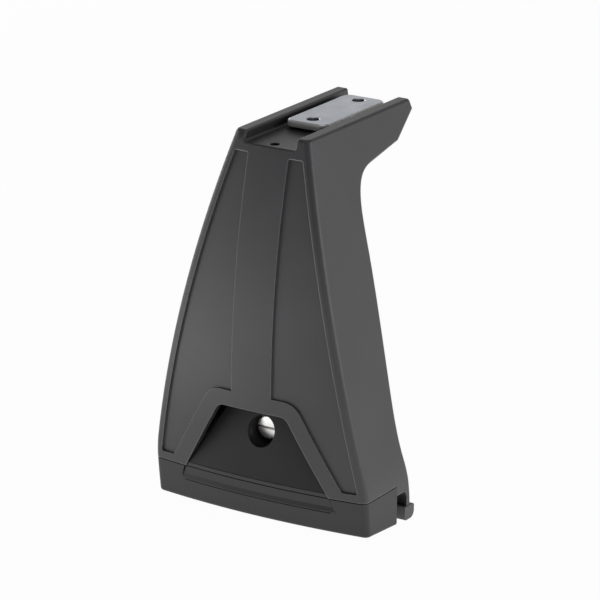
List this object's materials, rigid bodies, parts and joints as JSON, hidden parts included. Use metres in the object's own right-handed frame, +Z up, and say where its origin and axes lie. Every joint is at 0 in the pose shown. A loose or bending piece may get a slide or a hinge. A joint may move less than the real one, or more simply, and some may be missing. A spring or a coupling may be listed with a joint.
{
  "type": "roof bar foot",
  "caption": "Tall tapering foot for a roof bar, with a screw clamp for a drip rail at its base and a channel with a tapped clamp plate at its top.",
  "frame": {"origin": "middle of the gutter slot, level with the bottom front edge of the jaw, in the plane of symmetry", "axes": "+Z up, +Y in over the roof along the bar, +X along the gutter"},
  "size_m": [0.1352, 0.1211, 0.2118],
  "materials": {
    "leg_moulding": "fine satin grain, black glass-filled nylon",
    "shoe_rubber": "matt black rubber",
    "jaw_casting": "fine satin black powder coat on die-cast aluminium",
    "cover_moulding": "smooth dark moulding",
    "zinc_steel": "bright zinc plate"
  },
  "bodies": {
    "leg": {"leg_body": "leg_moulding", "gutter_shoe": "shoe_rubber", "clamp_nut": "zinc_steel", "flat_washers": "zinc_steel"},
    "jaw": {"clamp_jaw": "jaw_casting", "clamp_cover": "cover_moulding", "clamp_washer": "zinc_steel"},
    "clamp_screw": {"clamp_bolt": "zinc_steel", "bolt_clip": "zinc_steel"},
    "plate": {"bar_plate": "zinc_steel"},
    "front_bolt": {"bar_bolt_front": "zinc_steel", "split_washer_front": "zinc_steel"},
    "rear_bolt": {"bar_bolt_rear": "zinc_steel", "split_washer_rear": "zinc_steel"}
  },
  "joints": [
    {"name": "clamp_slide", "type": "slide", "parent": "leg", "child": "jaw", "axis": [0, -1, 0], "range_m": [0, 0.006]},
    {"name": "clamp_screw_turn", "type": "hinge", "parent": "jaw", "child": "clamp_screw", "pos_m": [0, -0.0234, 0.0473], "axis": [0, -1, 0], "range_deg": [0, 1730]},
    {"name": "plate_lift", "type": "slide", "parent": "leg", "child": "plate", "axis": [0, 0, 1], "range_m": [0, 0.002]},
    {"name": "front_bolt_turn", "type": "hinge", "parent": "leg", "child": "front_bolt", "pos_m": [0, 0.016, 0.1948], "axis": [0, 0, -1], "range_deg": [0, 578]},
    {"name": "rear_bolt_turn", "type": "hinge", "parent": "leg", "child": "rear_bolt", "pos_m": [0, 0.061, 0.1948], "axis": [0, 0, -1], "range_deg": [0, 578]}
  ],
  "couplings": [
    {"joint": "clamp_screw_turn", "follows": "clamp_slide", "rad_per_m": 5026.5},
    {"joint": "front_bolt_turn", "follows": "plate_lift", "rad_per_m": 5026.5},
    {"joint": "rear_bolt_turn", "follows": "plate_lift", "rad_per_m": 5026.5}
  ]
}
